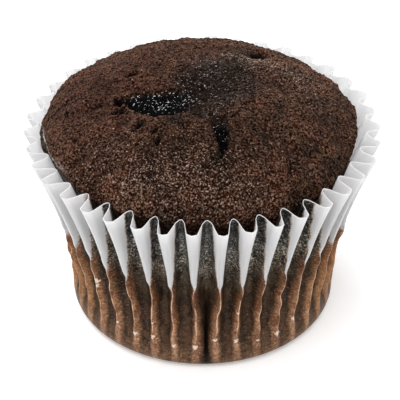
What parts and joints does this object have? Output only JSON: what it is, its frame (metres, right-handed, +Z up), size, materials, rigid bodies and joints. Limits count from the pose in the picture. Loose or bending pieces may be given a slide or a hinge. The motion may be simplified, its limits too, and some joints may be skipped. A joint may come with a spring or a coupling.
{
  "type": "unfrosted cupcake",
  "caption": "Unfrosted chocolate cupcake with a low cracked dome, baked in a flared pleated paper case that is grease-soaked low down and white at the rim.",
  "frame": {"origin": "centre of the underside of the paper case's flat base", "axes": "+Z up through the dome; -Y is the side that faces the picture's camera, +X is to that camera's right"},
  "size_m": [0.0668, 0.0668, 0.0484],
  "materials": {
    "chocolate_sponge": "matte",
    "greaseproof_paper": "matte"
  },
  "bodies": {
    "root": {"cake": "chocolate_sponge", "paper_case": "greaseproof_paper"}
  },
  "joints": []
}
